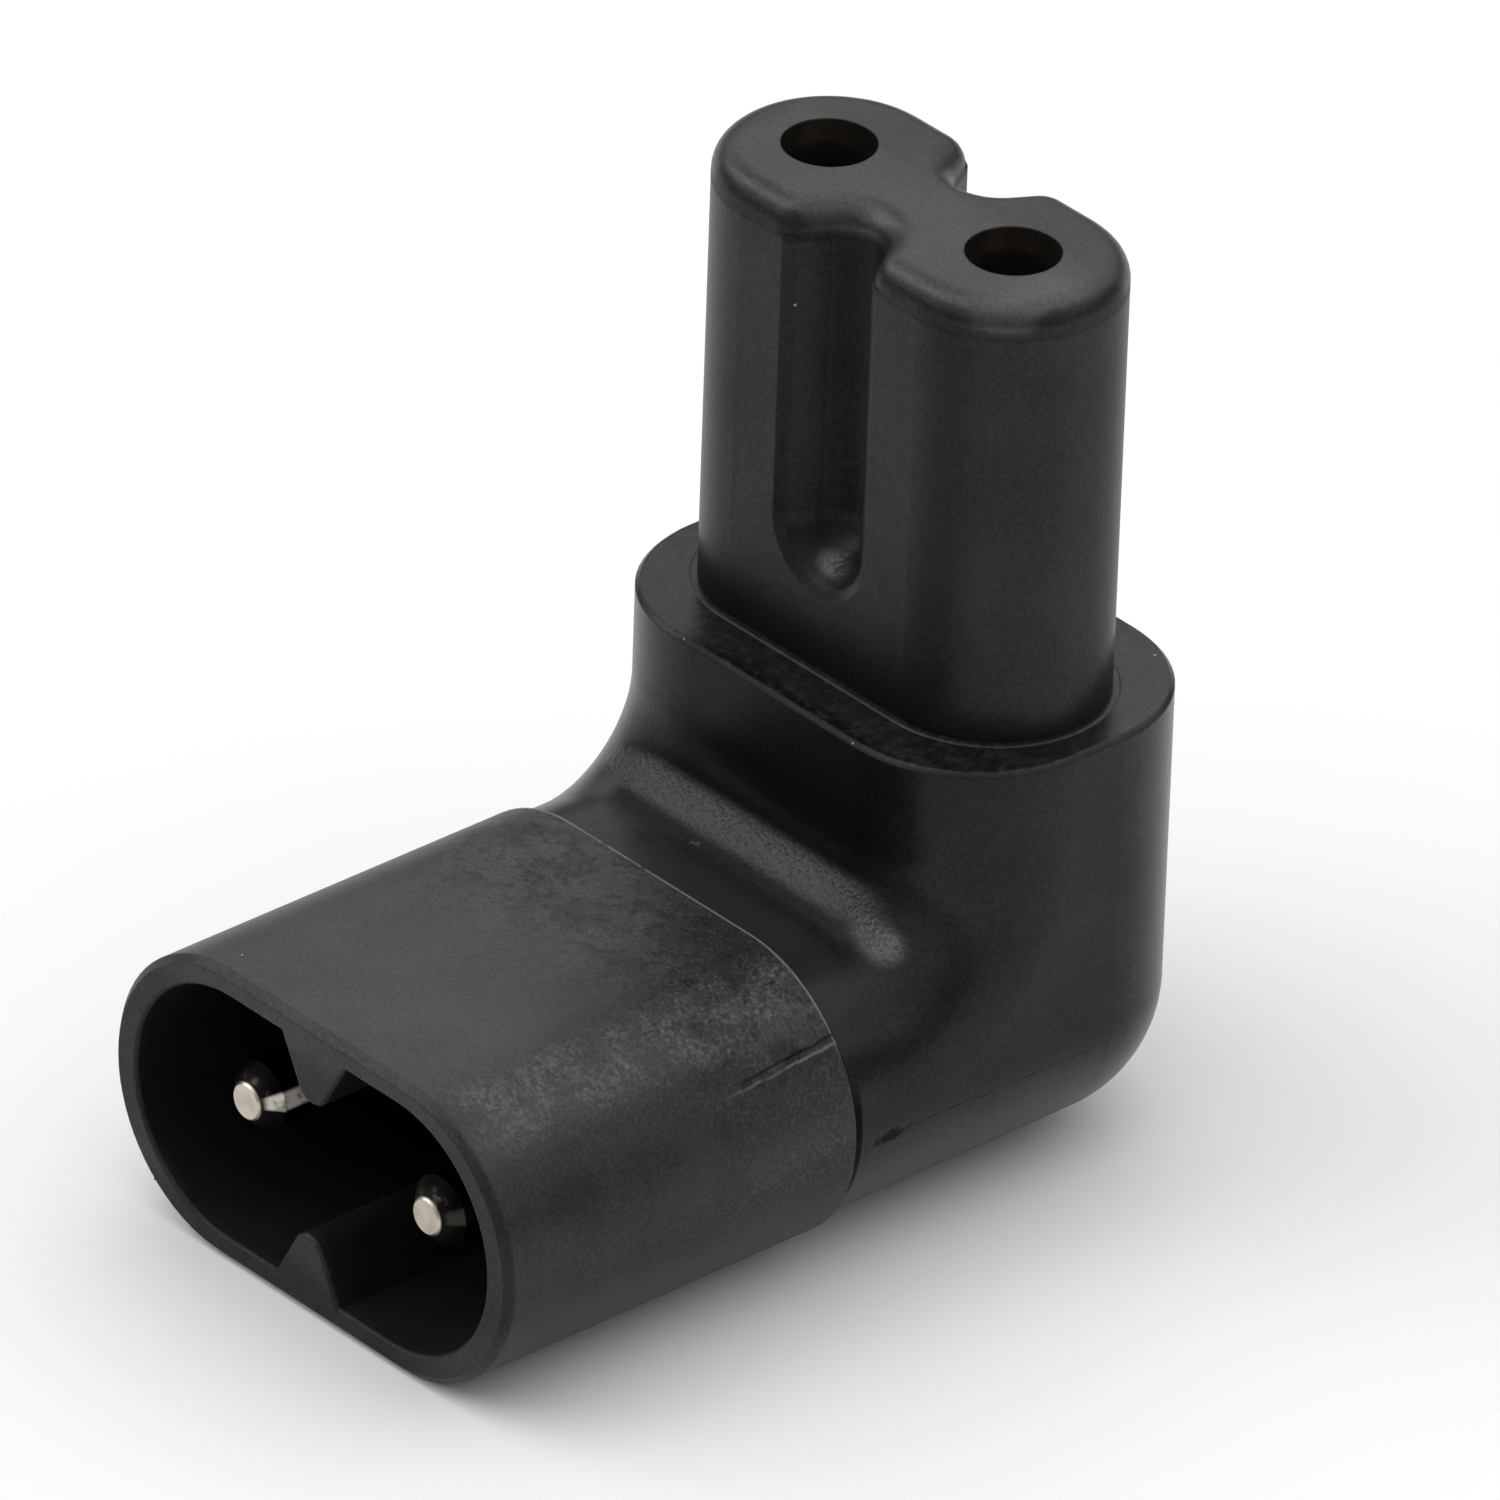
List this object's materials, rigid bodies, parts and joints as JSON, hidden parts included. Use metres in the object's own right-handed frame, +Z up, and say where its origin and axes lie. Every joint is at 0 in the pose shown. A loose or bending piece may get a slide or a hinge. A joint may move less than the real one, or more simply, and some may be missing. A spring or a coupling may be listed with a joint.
{
  "type": "figure eight power connector",
  "caption": "Right-angle figure eight power adapter: a keyed inlet shroud with round pins, a smooth moulded elbow and an upright grooved nose with contact holes.",
  "frame": {"origin": "under the middle of the outer box, at the level of the shroud's underside", "axes": "+Z up along the nose to its tip, -Y out of the inlet's mouth, X across the contacts"},
  "size_m": [0.0188, 0.03, 0.0314],
  "materials": {
    "shroud_plastic": "matte",
    "nose_plastic": "satin",
    "elbow_plastic": "satin",
    "plated_pin": "satin",
    "sleeve_brass": "satin",
    "link_brass": "satin"
  },
  "bodies": {
    "root": {"inlet_shroud": "shroud_plastic", "nose_insert": "nose_plastic", "elbow_overmould": "elbow_plastic", "pin_left": "plated_pin", "pin_right": "plated_pin", "contact_sleeve_left": "sleeve_brass", "contact_sleeve_right": "sleeve_brass", "contact_link_left": "link_brass", "contact_link_right": "link_brass"}
  },
  "joints": []
}
